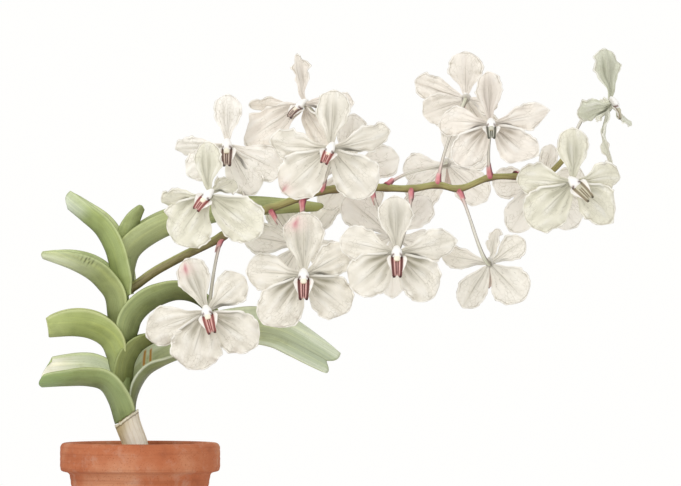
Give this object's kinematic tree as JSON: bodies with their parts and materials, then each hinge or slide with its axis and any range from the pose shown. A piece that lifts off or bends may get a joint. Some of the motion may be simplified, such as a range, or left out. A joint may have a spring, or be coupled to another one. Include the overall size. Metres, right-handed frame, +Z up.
{
  "type": "potted white vanda orchid",
  "caption": "Vanda orchid in a plain clay pot: two ranks of folded strap leaves on a short stem, and one arching stem of pale open flowers with coloured lips.",
  "frame": {"origin": "centre of the pot's flat underside", "axes": "+Z up, +X along the arching flower stem, away from the leaves, -Y towards the side that the open flowers face"},
  "size_m": [0.476, 0.128, 0.4321],
  "materials": {
    "clay": "matte",
    "bark": "matte",
    "stem": "matte",
    "leaf": "satin",
    "flower_stem": "satin",
    "petal": "matte",
    "lip": "satin"
  },
  "bodies": {
    "root": {"pot": "clay", "bark_bed": "bark", "leafy_stem": "stem", "flower_stem": "flower_stem", "leaf_01": "leaf", "leaf_02": "leaf", "leaf_03": "leaf", "leaf_04": "leaf", "leaf_05": "leaf", "leaf_06": "leaf", "leaf_07": "leaf", "leaf_08": "leaf", "leaf_09": "leaf", "bloom_01": "petal", "lip_01": "lip", "bloom_02": "petal", "lip_02": "lip", "bloom_03": "petal", "lip_03": "lip", "bloom_04": "petal", "lip_04": "lip", "bloom_05": "petal", "lip_05": "lip", "bloom_06": "petal", "lip_06": "lip", "bloom_07": "petal", "lip_07": "lip", "bloom_08": "petal", "lip_08": "lip", "bloom_09": "petal", "lip_09": "lip", "bloom_10": "petal", "lip_10": "lip", "bloom_11": "petal", "lip_11": "lip", "bloom_12": "petal", "lip_12": "lip", "bloom_13": "petal", "lip_13": "lip", "bloom_14": "petal", "lip_14": "lip", "bloom_15": "petal", "lip_15": "lip", "bloom_16": "petal", "lip_16": "lip", "bloom_17": "petal", "lip_17": "lip"}
  },
  "joints": []
}
